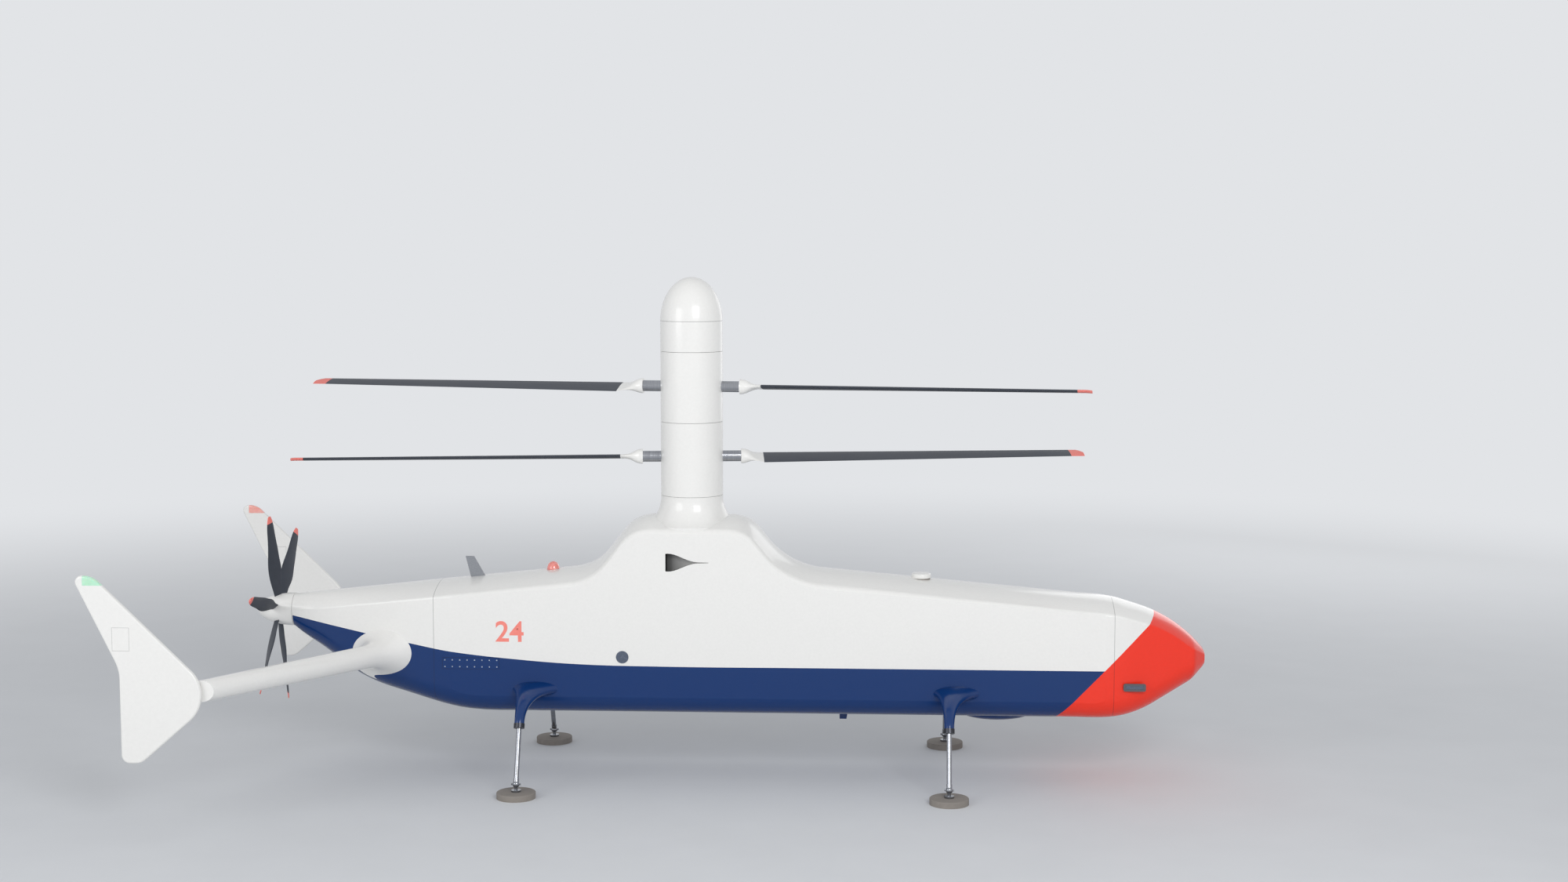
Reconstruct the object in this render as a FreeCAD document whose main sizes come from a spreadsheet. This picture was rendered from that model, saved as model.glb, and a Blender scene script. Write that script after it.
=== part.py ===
"""Unmanned coaxial helicopter: a slab-sided fuselage on four padded legs, a tall mast with two
contra-rotating two-bladed rotors, a pusher propeller at the tail and two fins on booms.

Millimetres, +X towards the nose, +Y towards the port side, +Z up. The origin lies on the ground,
midway between the nose and the rear tips of the fins."""

import FreeCAD, Part

import math
import os

import Sketcher
from FreeCAD import Placement, Rotation, Vector

document = FreeCAD.newDocument("coaxial_helicopter")
sheet = document.addObject("Spreadsheet::Sheet", "sizes")

# Each group of cells: alias, value in millimetres or degrees, what it measures.
CELLS = [
    ("mast_x", 58, "rotor axis ahead of the origin"),
    # fuselage
    ("nose_x", 2274, "front face of the nose"),
    ("tail_x", -1697, "rear face of the fuselage"),
    ("hull_half_width", 200, "half the width across the flat sides"),
    ("belly_z", 286, "underside above the ground"),
    ("spine_z", 956, "height at which the two sloping spine lines would meet on the rotor axis"),
    ("spine_aft_fall", 104, "fall of the spine behind the mast, per metre"),
    ("spine_fore_fall", 91, "fall of the spine ahead of the mast, per metre"),
    ("hump_z", 1136, "top of the hump under the mast"),
    ("hump_brow", 247, "rotor axis to the brow of the hump"),
    ("hump_foot", 418, "rotor axis to the foot of the hump"),
    ("crown_rise", 48, "rise of the arched top over the sides"),
    ("corner_round", 100, "radius of the lower corners"),
    ("tail_round", 72.5, "radius of the fuselage's round rear end"),
    ("tail_axis_z", 703, "height of the propeller shaft"),
    ("tail_joint_x", -1046, "joint between the tail and the centre section"),
    ("nose_joint_x", 1874, "joint between the centre section and the nose cone"),
    ("belly_rise_start", 780, "tail end to the point where the belly begins to rise"),
    ("belly_rise_middle", 313, "tail end to the bend half way up the rising belly"),
    ("belly_rise_height", 124, "height of that bend over the belly"),
    ("nose_bend", 389, "nose tip back to the bend at the end of the spine"),
    ("nose_brow", 124, "nose tip back to the brow of the nose"),
    ("nose_brow_drop", 81, "fall from the bend to the brow"),
    ("nose_lip_z", 563, "top of the blunt nose tip"),
    ("nose_chin_z", 505, "underside of the blunt nose tip"),
    ("nose_keel", 323, "nose tip back to the point where the belly begins to rise"),
    ("nose_jaw", 74, "nose tip back to the jaw, where the rise steepens"),
    ("nose_jaw_z", 428, "height of the jaw"),
    ("nose_taper", 400, "length over which the sides draw in towards the nose"),
    ("nose_cheek", 52, "nose tip back to the upright edge between side and front"),
    ("nose_cheek_half_width", 120, "half the width across those edges"),
    ("nose_tip_half_width", 40, "half the width of the nose tip"),
    ("hump_reach", 620, "rotor axis to the end of the hump's blend into the spine"),
    # mast
    ("drum_radius", 135, "mast fairing and rotor drums"),
    ("collar_flare", 135, "radius of the collar's concave flare"),
    ("collar_inset", 5, "flat sides to the foot of the collar"),
    ("collar_top_z", 1224, "seam between the collar and the lower drum"),
    ("lower_drum_top_z", 1543, "seam between the two drums"),
    ("upper_drum_top_z", 1847, "seam between the upper drum and the ring"),
    ("ring_top_z", 1980, "seam between the ring and the dome"),
    ("dome_rise", 188, "height of the dome"),
    ("running_gap", 5, "gap between turning and fixed faces"),
    ("mast_tube_radius", 50, "fixed tube inside the drums"),
    ("bearing_clearance", 0.1, "radial clearance of the drums on the tube"),
    # rotors
    ("upper_rotor_z", 1696, "height of the upper blades"),
    ("lower_rotor_z", 1392, "height of the lower blades"),
    ("rotor_radius", 1719, "rotor axis to the blade tip"),
    ("rotor_turn", 6.3, "angle at which the parked blades stand off the long axis"),
    ("blade_pitch", 8, "pitch of the blades at the tip, degrees"),
    ("blade_twist", 1.5, "further pitch at the root, degrees"),
    ("blade_droop", 6, "sag of the blade tips under the spindles"),
    ("root_chord", 152, "blade chord at the cuff"),
    ("tip_chord", 103, "blade chord near the tip"),
    ("spindle_radius", 24, "chrome spindle"),
    ("cuff_start", 213, "rotor axis to the cuff's flange"),
    ("cuff_end", 310, "rotor axis to the blade root"),
    ("cuff_flange", 32.5, "radius of the cuff's flange"),
    # tail propeller
    ("spinner_length", 168, "length of the spinner"),
    ("propeller_radius", 440, "propeller axis to the blade tip"),
    ("propeller_station", 75, "spinner's front face to the blade axes"),
    ("propeller_chord", 66, "widest chord of a propeller blade"),
    ("propeller_turn", 14.5, "angle at which the first blade stands above the horizontal"),
    ("tail_shaft_radius", 15, "shaft between the fuselage and the spinner"),
    ("shaft_depth", 60, "shaft inside the fuselage"),
    # booms and fins
    ("fin_offset", 1093, "centre plane of the aircraft to the middle of a fin"),
    ("fin_thickness", 24, "fin plate"),
    ("fin_edge_round", 8, "rounding of the fin's edges"),
    ("fin_tip_x", -2272, "rear tip of the fins"),
    ("fin_tip_z", 1022, "top of the fins"),
    ("fin_foot_z", 275, "lowest edge of the fins"),
    ("boom_root_x", -1248, "boom axis at the fuselage side"),
    ("boom_root_z", 545, "boom axis at the fuselage side"),
    ("boom_end_x", -1778, "boom axis at the fin"),
    ("boom_end_z", 564, "boom axis at the fin"),
    ("boom_root_radius", 50, "boom behind its flared root"),
    ("boom_end_radius", 43, "boom at the fin"),
    ("boom_flare_length", 270, "flared root along the fuselage side"),
    ("boom_flare_height", 188, "flared root on the fuselage side"),
    ("boom_flare_reach", 150, "fuselage side to the end of the flare"),
    # landing gear
    ("front_leg_x", 1172, "front feet"),
    ("rear_leg_x", -639, "rear feet"),
    ("foot_y", 504, "centre plane to the middle of a foot"),
    ("pad_radius", 82, "foot pad"),
    ("pad_thickness", 26, "foot pad"),
    ("ankle_z", 58, "pivot of the ankle above the ground"),
    ("ball_radius", 15, "ankle ball"),
    ("strut_radius", 10.5, "chrome leg strut"),
    ("collar_y", 412, "centre plane to the collar at the top of a strut"),
    ("leg_collar_z", 285, "height of that collar"),
    ("leg_collar_radius", 23, "collar at the top of a strut"),
    ("leg_collar_length", 20, "collar at the top of a strut"),
    ("horn_root_z", 398, "middle of a leg fairing on the fuselage side"),
    ("horn_root_length", 196, "leg fairing along the fuselage side"),
    ("horn_root_height", 66, "leg fairing on the fuselage side"),
    # small fittings
    ("inlet_x", -39, "rear lip of the air inlets"),
    ("inlet_z", 954, "middle of the air inlets"),
    ("inlet_length", 188, "air inlet, lip to point"),
    ("inlet_height", 76, "air inlet at the lip"),
    ("inlet_depth", 45, "air inlet at the lip"),
    ("plate_sink", 4, "depth of the recess under a panel, lamp or port"),
    ("plate_proud", 1.5, "how far panels and ports stand out of the side"),
    ("port_x", -227, "round side port"),
    ("port_z", 542, "round side port"),
    ("port_radius", 27, "round side port"),
    ("panel_x", -884, "screwed panel on each side"),
    ("panel_z", 508, "screwed panel on each side"),
    ("panel_length", 244, "screwed panel on each side"),
    ("panel_height", 47, "screwed panel on each side"),
    ("lamp_x", 1961, "lamp on each side of the nose"),
    ("lamp_z", 434, "lamp on each side of the nose"),
    ("lamp_length", 90, "lamp on each side of the nose"),
    ("lamp_height", 28, "lamp on each side of the nose"),
    ("lamp_face_y", 199, "outer face of the nose lamps from the centre plane"),
    ("beacon_x", -554, "red beacon on the spine"),
    ("beacon_radius", 28, "red beacon"),
    ("beacon_height", 36, "red beacon"),
    ("beacon_z", 890, "base of the beacon's dome"),
    ("aerial_x", -880, "blade aerial on the spine"),
    ("aerial_root_z", 840, "lowest point of the spine aerial, inside the skin"),
    ("aerial_height", 105, "blade aerial on the spine, with its root"),
    ("aerial_thickness", 9, "blade aerials"),
    ("belly_aerial_x", 724, "blade aerial under the belly"),
    ("belly_aerial_depth", 46, "blade aerial under the belly"),
    ("puck_x", 1055, "satellite receiver on the spine"),
    ("puck_radius", 42, "satellite receiver"),
    ("puck_z", 858, "spine under the satellite receiver"),
    ("puck_height", 30, "satellite receiver above the spine"),
    ("blister_x", 1383, "shallow dome under the belly"),
    ("blister_length", 320, "shallow dome under the belly"),
    ("blister_width", 130, "shallow dome under the belly"),
    ("blister_depth", 40, "shallow dome under the belly"),
]
for row, (alias, value, note) in enumerate(CELLS, start=1):
    sheet.set(f"A{row}", note)
    sheet.set(f"B{row}", str(value))
    sheet.setAlias(f"B{row}", alias)
document.recompute()


def size(alias):
    """A cell of the sheet as a number."""
    return float(sheet.get(alias))


def bind(item, **links):
    """Tie properties of an object to cells; __ stands for the dot in a property's path."""
    for path, formula in links.items():
        words = []
        for word in formula.replace("(", "( ").replace(")", " )").split():
            words.append(f"sizes.{word}" if word in ALIASES else word)
        item.setExpression(path.replace("__", "."), " ".join(words))
    return item


ALIASES = {alias for alias, value, note in CELLS}
subparts = []


def subpart(item, label):
    """Name an object as one of the helicopter's pieces."""
    item.Label = label
    subparts.append(item)
    return item


def shaped(name, shape):
    """A feature whose free-form shape is set here from the sheet's values."""
    item = document.addObject("Part::Feature", name)
    item.Shape = shape
    item.Placement = Placement()
    return item


def primitive(kind, name, **links):
    return bind(document.addObject(f"Part::{kind}", name), **links)


def cut(name, base, tool):
    item = document.addObject("Part::Cut", name)
    item.Base = base
    item.Tool = tool
    return item


def common(name, base, tool):
    item = document.addObject("Part::Common", name)
    item.Base = base
    item.Tool = tool
    return item


def fused(name, pieces):
    item = document.addObject("Part::MultiFuse", name)
    item.Shapes = pieces
    return item


def grouped(name, pieces):
    """Separate solids of one piece, such as a left and a right one."""
    item = document.addObject("Part::Compound", name)
    item.Links = pieces
    return item


def sketch_outline(body, plane_role, points):
    """A closed polygon on one of the body's planes; each point is a pair of formulas."""
    sketch = body.newObject("Sketcher::SketchObject", body.Name + "_outline")
    plane = [item for item in body.Origin.OriginFeatures if item.Role == plane_role][0]
    sketch.AttachmentSupport = [(plane, "")]
    sketch.MapMode = "FlatFace"
    count = len(points)
    start = [Vector(100, 0, 0)] * count
    for index in range(count):
        angle = 2 * math.pi * index / count
        start[index] = Vector(100 * math.cos(angle), 100 * math.sin(angle), 0)
    for index in range(count):
        sketch.addGeometry(Part.LineSegment(start[index], start[(index + 1) % count]), False)
    for index in range(count):
        sketch.addConstraint(Sketcher.Constraint("Coincident", index, 2, (index + 1) % count, 1))
    for index, formulas in enumerate(points):
        for kind, formula, value in zip(("DistanceX", "DistanceY"), formulas, start[index]):
            number = sketch.addConstraint(Sketcher.Constraint(kind, -1, 1, index, 1, value))
            bind(sketch, **{f"Constraints[{number}]": formula})
    return sketch


# ---------------------------------------------------------------- fuselage

def rounded_line(corners):
    """A polyline with rounded corners, as a function from x to its other coordinate.

    corners: (x, value, radius) in order of x; the first and last radius are unused."""
    bends = []
    for before, corner, after in zip(corners, corners[1:], corners[2:]):
        turn_in = math.atan2(corner[1] - before[1], corner[0] - before[0])
        turn_out = math.atan2(after[1] - corner[1], after[0] - corner[0])
        reach = corner[2] * math.tan(abs(turn_out - turn_in) / 2)
        side = 1 if turn_out > turn_in else -1
        start_x = corner[0] - reach * math.cos(turn_in)
        start_value = corner[1] - reach * math.sin(turn_in)
        centre_x = start_x - side * corner[2] * math.sin(turn_in)
        centre_value = start_value + side * corner[2] * math.cos(turn_in)
        end_x = corner[0] + reach * math.cos(turn_out)
        bends.append((start_x, end_x, centre_x, centre_value, side * corner[2]))

    def value_at(x):
        for start_x, end_x, centre_x, centre_value, radius in bends:
            if start_x < x < end_x:
                rise = math.sqrt(max(radius * radius - (x - centre_x) ** 2, 0))
                return centre_value - math.copysign(rise, radius)
        for left, right in zip(corners, corners[1:]):
            if x <= right[0] or right is corners[-1]:
                share = (x - left[0]) / max(right[0] - left[0], 0.001)
                return left[1] + share * (right[1] - left[1])

    return value_at


mast_x = size("mast_x")
nose_x = size("nose_x")
tail_x = size("tail_x")
half_width = size("hull_half_width")
side_allowance = 2
belly_z = size("belly_z")
hump_z = size("hump_z")
tail_round = size("tail_round")
tail_axis_z = size("tail_axis_z")
nose_point_x = nose_x + 4


def spine_z(x):
    """Height of the straight, sloping spine, ignoring the hump."""
    fall = size("spine_fore_fall") if x > mast_x else size("spine_aft_fall")
    return size("spine_z") - abs(x - mast_x) * fall / 1000


# Side view of the fuselage, then half its plan view. Each corner is its x, its height or half
# width, and the radius of its rounding.
hump_foot_aft = mast_x - size("hump_foot")
hump_foot_fore = mast_x + size("hump_foot")
nose_bend_x = nose_x - size("nose_bend")
top_line = rounded_line([
    (tail_x, spine_z(tail_x), 0),
    (hump_foot_aft, spine_z(hump_foot_aft), 230),
    (mast_x - size("hump_brow"), hump_z, 158),
    (mast_x + size("hump_brow"), hump_z, 150),
    (hump_foot_fore, spine_z(hump_foot_fore), 350),
    (nose_bend_x, spine_z(nose_bend_x), 300),
    (nose_x - size("nose_brow"), spine_z(nose_bend_x) - size("nose_brow_drop"), 560),
    (nose_point_x, size("nose_lip_z"), 58),
    (nose_point_x + 0.001, (size("nose_lip_z") + size("nose_chin_z")) / 2, 0),
])
belly_line = rounded_line([
    (tail_x, tail_axis_z - tail_round, 0),
    (tail_x + size("belly_rise_middle"), belly_z + size("belly_rise_height"), 500),
    (tail_x + size("belly_rise_start"), belly_z, 900),
    (nose_x - size("nose_keel"), belly_z, 450),
    (nose_x - size("nose_jaw"), size("nose_jaw_z"), 100),
    (nose_point_x, size("nose_chin_z"), 55),
    (nose_point_x + 0.001, (size("nose_lip_z") + size("nose_chin_z")) / 2, 0),
])
side_line = rounded_line([
    (tail_x, tail_round, 0),
    (size("tail_joint_x"), half_width + side_allowance, 1500),
    (nose_x - size("nose_taper"), half_width + side_allowance, 700),
    (nose_x - size("nose_cheek"), size("nose_cheek_half_width"), 26),
    (nose_point_x, size("nose_tip_half_width"), 24),
    (nose_point_x + 0.001, 0, 0),
])
shoulder_round = rounded_line([
    (tail_x, 10, 0),
    (size("tail_joint_x"), 12, 0),
    (mast_x - size("hump_reach"), 36, 0),
    (mast_x + size("hump_reach"), 36, 0),
    (size("nose_joint_x"), 12, 0),
    (nose_point_x, 8, 0),
])


def hull_section(x):
    """Outline of the fuselage across its length: flat sides, arched top, rounded lower corners."""
    top = top_line(x)
    bottom = belly_line(x)
    width = side_line(x)
    height = top - bottom
    towards_tail = max(0, 1 - (x - tail_x) / 600)
    rise = size("crown_rise") + towards_tail * (tail_round - 4 - size("crown_rise"))
    if x > mast_x:
        rise = min(rise, 0.22 * height)
    corner = min(size("corner_round"), 0.94 * width, 0.45 * height)
    shoulder = min(shoulder_round(x), 0.2 * height)
    arch = (width * width + rise * rise) / (2 * rise)
    arch_centre = top - arch
    shoulder_z = arch_centre + math.sqrt((arch - shoulder) ** 2 - (width - shoulder) ** 2)
    lean = math.atan2(width - shoulder, shoulder_z - arch_centre)
    crest_y = arch * math.sin(lean)
    crest_z = arch_centre + arch * math.cos(lean)
    middle = (math.pi / 2 - lean) / 2
    bulge_y = width - shoulder + shoulder * math.cos(middle)
    bulge_z = shoulder_z + shoulder * math.sin(middle)
    diagonal = corner * math.sqrt(0.5)

    def point(y, z):
        return Vector(x, y, z)

    edges = [
        Part.LineSegment(point(-width + corner, bottom), point(width - corner, bottom)),
        Part.Arc(
            point(width - corner, bottom),
            point(width - corner + diagonal, bottom + corner - diagonal),
            point(width, bottom + corner),
        ),
        Part.LineSegment(point(width, bottom + corner), point(width, shoulder_z)),
        Part.Arc(point(width, shoulder_z), point(bulge_y, bulge_z), point(crest_y, crest_z)),
        Part.Arc(point(crest_y, crest_z), point(0, top), point(-crest_y, crest_z)),
        Part.Arc(point(-crest_y, crest_z), point(-bulge_y, bulge_z), point(-width, shoulder_z)),
        Part.LineSegment(point(-width, shoulder_z), point(-width, bottom + corner)),
        Part.Arc(
            point(-width, bottom + corner),
            point(-width + corner - diagonal, bottom + corner - diagonal),
            point(-width + corner, bottom),
        ),
    ]
    return Part.Wire([edge.toShape() for edge in edges])


def spread(start, end, count):
    """Evenly spaced stations from start up to, but not including, end."""
    return [start + (end - start) * index / count for index in range(count)]


hump_aft_x = mast_x - size("hump_reach")
hump_fore_x = mast_x + size("hump_reach")
stations = spread(tail_x, hump_aft_x, 9) + spread(hump_aft_x, hump_fore_x, 28)
stations += spread(hump_fore_x, nose_x - size("nose_taper"), 8)
# Sections crowd together towards the nose, where the outline turns fastest.
nose_sections = 24
for step in range(nose_sections + 1):
    share = 1 - step / nose_sections
    stations.append(nose_x - size("nose_taper") * share**1.6)
# The lofted hull is trimmed to exactly flat sides, then divided at its two joints.
loft = shaped("hull_loft", Part.makeLoft([hull_section(x) for x in stations], True, False))
slab = primitive(
    "Box", "hull_slab", Length="nose_x - tail_x + 200", Width="hull_half_width * 2",
    Height="hump_z + 200", Placement__Base__x="tail_x - 100",
    Placement__Base__y="hull_half_width * -1",
)
hull = common("hull", loft, slab)


def between(name, start, end):
    """A block as wide as the aircraft between two stations along it."""
    return primitive(
        "Box", name, Length=f"{end} - ( {start} )", Width="hull_half_width * 4", Height="hump_z + 200",
        Placement__Base__x=start, Placement__Base__y="hull_half_width * -2",
    )


tail_blank = common("tail_section", hull, between("tail_block", "tail_x - 50", "tail_joint_x"))
nose_blank = common("nose_section", hull, between("nose_block", "nose_joint_x", "nose_x + 50"))
centre_blank = common("centre_section", hull, between("centre_block", "tail_joint_x", "nose_joint_x"))


def inlet_cutter(side):
    """Recess of a flush air inlet: a ramp that widens and deepens towards its rear lip."""
    lip_x = size("inlet_x")
    length = size("inlet_length")
    half = size("inlet_height") / 2
    slit = 2

    def rim(share_x, share_z, sign):
        z = size("inlet_z") + sign * (slit + (half - slit) * share_z)
        return Vector(lip_x + length * share_x, 0, z)

    flank = [(0, 1), (0.18, 0.94), (0.4, 0.5), (0.6, 0.12), (0.75, 0)]
    upper = [rim(share_x, share_z, 1) for share_x, share_z in flank]
    lower = [rim(share_x, share_z, -1) for share_x, share_z in flank]
    upper_curve = Part.BSplineCurve()
    upper_curve.interpolate(upper)
    lower_curve = Part.BSplineCurve()
    lower_curve.interpolate(lower)
    tip_high = rim(1, 0, 1)
    tip_low = rim(1, 0, -1)
    outline = Part.Wire([
        upper_curve.toShape(),
        Part.makeLine(upper[-1], tip_high),
        Part.makeLine(tip_high, tip_low),
        Part.makeLine(tip_low, lower[-1]),
        lower_curve.toShape(),
        Part.makeLine(lower[0], upper[0]),
    ])
    depth = size("inlet_depth")
    block = Part.Face(outline).extrude(Vector(0, side * (half_width + 10), 0))
    ramp = Part.makePolygon([
        Vector(lip_x - 1, side * (half_width - depth), 0),
        Vector(lip_x + length, side * half_width, 0),
        Vector(lip_x + length, side * (half_width + 20), 0),
        Vector(lip_x - 1, side * (half_width + 20), 0),
        Vector(lip_x - 1, side * (half_width - depth), 0),
    ])
    return block.common(Part.Face(ramp).extrude(Vector(0, 0, hump_z)))


inlets = grouped("inlet_recesses", [shaped(f"inlet_{side}", inlet_cutter(side)) for side in (-1, 1)])

# Panels, ports and lamps let into the sides; the recesses are cut with the same plates.


def side_pair(name, make):
    """The same fitting on the port (+1) and starboard (-1) side."""
    words = (("port", 1), ("starboard", -1))
    return grouped(name, [make(f"{name}_{word}", side) for word, side in words])


def side_plate(name, side, length, height, x, z, outer):
    """A thin rectangular plate on a flat side; outer is its outer face's distance from the middle."""
    start = f"{outer} - plate_sink - plate_proud" if side > 0 else f"( {outer} ) * -1"
    return primitive(
        "Box", name, Length=length, Width="plate_sink + plate_proud", Height=height,
        Placement__Base__x=f"{x} - {length} / 2", Placement__Base__y=start,
        Placement__Base__z=f"{z} - {height} / 2",
    )


def panel(name, side):
    outer = "hull_half_width + plate_proud"
    return side_plate(name, side, "panel_length", "panel_height", "panel_x", "panel_z", outer)


def lamp(name, side):
    return side_plate(name, side, "lamp_length", "lamp_height", "lamp_x", "lamp_z", "lamp_face_y")


def port(name, side):
    disc = primitive("Cylinder", name, Radius="port_radius", Height="plate_sink + plate_proud")
    disc.Placement = Placement(Vector(0, 0, 0), Rotation(Vector(1, 0, 0), -90))
    outer = "hull_half_width - plate_sink" if side > 0 else "( hull_half_width + plate_proud ) * -1"
    return bind(disc, Placement__Base__x="port_x", Placement__Base__y=outer, Placement__Base__z="port_z")


panels = subpart(side_pair("panels", panel), "service_panels")
ports = subpart(side_pair("ports", port), "side_ports")
lamps = subpart(side_pair("lamps", lamp), "nose_lamps")
recessed = cut("centre_with_recesses", centre_blank, fused("recess_tools", [inlets, panels, ports]))
subpart(recessed, "centre_fuselage")
subpart(cut("nose_with_lamps", nose_blank, lamps), "nose_cone")
shaft_bore = primitive(
    "Cylinder", "shaft_bore", Radius="tail_shaft_radius + bearing_clearance", Height="shaft_depth + 20",
)
shaft_bore.Placement = Placement(Vector(0, 0, 0), Rotation(Vector(0, 1, 0), 90))
bind(shaft_bore, Placement__Base__x="tail_x - 20", Placement__Base__z="tail_axis_z")
subpart(cut("tail_with_bore", tail_blank, shaft_bore), "tail_fuselage")

# ---------------------------------------------------------------- mast


def upright(name, radius, start, end):
    """A cylinder on the mast axis between two heights."""
    return primitive(
        "Cylinder", name, Radius=radius, Height=f"{end} - ( {start} )",
        Placement__Base__x="mast_x", Placement__Base__z=start,
    )


mast_root = "hump_z - 90"
tube_blank = upright("tube_blank", "mast_tube_radius", mast_root, "ring_top_z")
subpart(cut("mast_tube", tube_blank, hull), "mast_tube")

collar_end = "collar_top_z - running_gap / 2"
skirt = upright("collar_skirt", "hull_half_width - collar_inset", mast_root, collar_end)
flare = primitive(
    "Torus", "collar_flare_tool", Radius1="drum_radius + collar_flare", Radius2="collar_flare",
    Placement__Base__x="mast_x", Placement__Base__z="collar_top_z - 10",
)
collar_bore = upright("collar_bore", "mast_tube_radius", mast_root, "collar_top_z")
collar = cut("collar_without_bore", cut("collar_flared", skirt, flare), collar_bore)
subpart(cut("mast_collar", collar, hull), "mast_collar")

ring_blank = upright("ring_blank", "drum_radius", "upper_drum_top_z + running_gap / 2", "ring_top_z")
ring_bore = upright("ring_bore", "mast_tube_radius", "upper_drum_top_z", "ring_top_z + 10")
subpart(cut("mast_ring", ring_blank, ring_bore), "mast_ring")
dome = primitive(
    "Ellipsoid", "mast_dome", Radius1="dome_rise", Radius2="drum_radius", Radius3="drum_radius",
    Placement__Base__x="mast_x", Placement__Base__z="ring_top_z",
)
dome.Angle1 = 0
subpart(dome, "mast_dome")

# ---------------------------------------------------------------- lofted blades


def section_frame(origin, forward, upward):
    """Section plane whose x axis points to the leading edge and y axis to the upper side."""
    across = forward.cross(upward)
    return FreeCAD.Matrix(
        forward.x, upward.x, across.x, origin.x,
        forward.y, upward.y, across.y, origin.y,
        forward.z, upward.z, across.z, origin.z,
        0, 0, 0, 1,
    )


def section_wire(frame, chord, thickness, roundness=0, offset=0):
    """Closed smooth section: an aerofoil blended with a circle of the same chord."""
    count = 14
    points = []
    for index in range(count):
        angle = 2 * math.pi * index / count
        across = -0.5 * chord * math.cos(angle)
        share = (1 + math.cos(angle)) / 2
        foil = 2.97 * math.sqrt(share) - 1.26 * share - 3.516 * share**2 + 2.843 * share**3
        foil = 0.5 * thickness * (foil - 0.95 * share**4) * (1 if math.sin(angle) > 0 else -1)
        circle = 0.5 * chord * math.sin(angle)
        height = 0 if index == 0 else roundness * circle + (1 - roundness) * foil
        points.append(frame.multVec(Vector(across + offset, height, 0)))
    curve = Part.BSplineCurve()
    curve.interpolate(points, PeriodicFlag=True)
    return Part.Wire(curve.toShape())


def span_frame(reach, pitch, lead, sag=0):
    """Section plane at a distance along +X, its leading edge towards lead * Y and raised by pitch."""
    slope = math.radians(pitch)
    forward = Vector(0, lead * math.cos(slope), math.sin(slope))
    upward = Vector(0, -lead * math.sin(slope), math.cos(slope))
    return section_frame(Vector(reach, 0, -sag), forward, upward)


# ---------------------------------------------------------------- rotors


# Shares of the blade's chord: its thickness, and how far its middle lies ahead of the pitch axis.
# The trailing edge sweeps forward, so the middle is behind the axis at the root only.
ROOT_THICKNESS = 0.108
TIP_THICKNESS = 0.123
ROOT_LEAD = -0.2
TIP_LEAD = 0.36


def rotor_blade(lead):
    """One rotor blade along +X from its cuff, tapering to a square tip with a rounded corner."""
    radius = size("rotor_radius")
    pitch = size("blade_pitch")
    root_chord = size("root_chord")
    tip_chord = size("tip_chord")
    root = span_frame(size("cuff_end"), pitch + size("blade_twist"), lead)
    shift = ROOT_LEAD * root_chord
    wires = [section_wire(root, root_chord, ROOT_THICKNESS * root_chord, offset=shift)]
    for inset, share in ((60, 1), (26, 1), (11, 0.82), (0, 0.55)):
        chord = share * tip_chord
        frame = span_frame(radius - inset, pitch, lead, size("blade_droop"))
        shift = TIP_LEAD * tip_chord - (tip_chord - chord) / 2
        wires.append(section_wire(frame, chord, TIP_THICKNESS * tip_chord, offset=shift))
    return Part.makeLoft(wires, True, True)


def rotor_cuff(lead):
    """White fairing from the round flange on the spindle to the blade's root section."""
    start = size("cuff_start")
    end = size("cuff_end")
    pitch = size("blade_pitch") + size("blade_twist")
    flange = 2 * size("cuff_flange")
    root_chord = size("root_chord")
    root_thickness = ROOT_THICKNESS * root_chord
    wires = []
    for share, roundness in ((0, 1), (0.1, 1), (0.3, 0.5), (0.55, 0.15), (0.8, 0.02), (1, 0)):
        neck = flange * (1 - 0.15 * math.sin(math.pi * min(share / 0.5, 1)))
        chord = neck + (root_chord - neck) * share ** 1.3
        depth = chord * roundness + (1 - roundness) * root_thickness
        reach = start + share * (end - start)
        thickness = max(root_thickness, depth * (1 - share))
        shift = ROOT_LEAD * root_chord * share**1.3
        frame = span_frame(reach, pitch, lead)
        wires.append(section_wire(frame, chord, thickness, roundness, shift))
    return Part.makeLoft(wires, True, False)


def parked(angle, z):
    """Placement of a blade that is modelled along +X, turned about the mast."""
    return Placement(Vector(mast_x, 0, z), Rotation(Vector(0, 0, 1), angle))


def build_rotor(name, height, bottom, top, turn_sign, lead):
    """A drum with two spindles, cuffs and blades; lead is the side of the leading edge at the nose."""
    drum_start = f"{bottom} + running_gap / 2"
    drum_end = f"{top} - running_gap / 2"
    drum_blank = upright(f"{name}_drum", "drum_radius", drum_start, drum_end)
    bore = upright(f"{name}_bore", "mast_tube_radius + bearing_clearance", bottom, top)
    subpart(cut(f"{name}_hub", drum_blank, bore), f"{name}_hub")
    z = size(height)
    turn = turn_sign * size("rotor_turn")
    spindle = primitive("Cylinder", f"{name}_spindle", Radius="spindle_radius", Height="cuff_start * 2")
    lying = Placement(Vector(-size("cuff_start"), 0, 0), Rotation(Vector(0, 1, 0), 90))
    spindle.Placement = parked(turn, z) * lying
    subpart(cut(f"{name}_spindles", spindle, drum_blank), f"{name}_spindles")
    for place, half_turn in (("front", 0), ("rear", 180)):
        for kind, make in (("cuff", rotor_cuff), ("blade", rotor_blade)):
            piece = shaped(f"{name}_{place}_{kind}", make(lead))
            piece.Placement = parked(turn + half_turn, z)
            subpart(piece, f"{name}_{place}_{kind}")


build_rotor("lower", "lower_rotor_z", "collar_top_z", "lower_drum_top_z", 1, 1)
build_rotor("upper", "upper_rotor_z", "lower_drum_top_z", "upper_drum_top_z", -1, -1)

# ---------------------------------------------------------------- tail propeller

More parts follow.
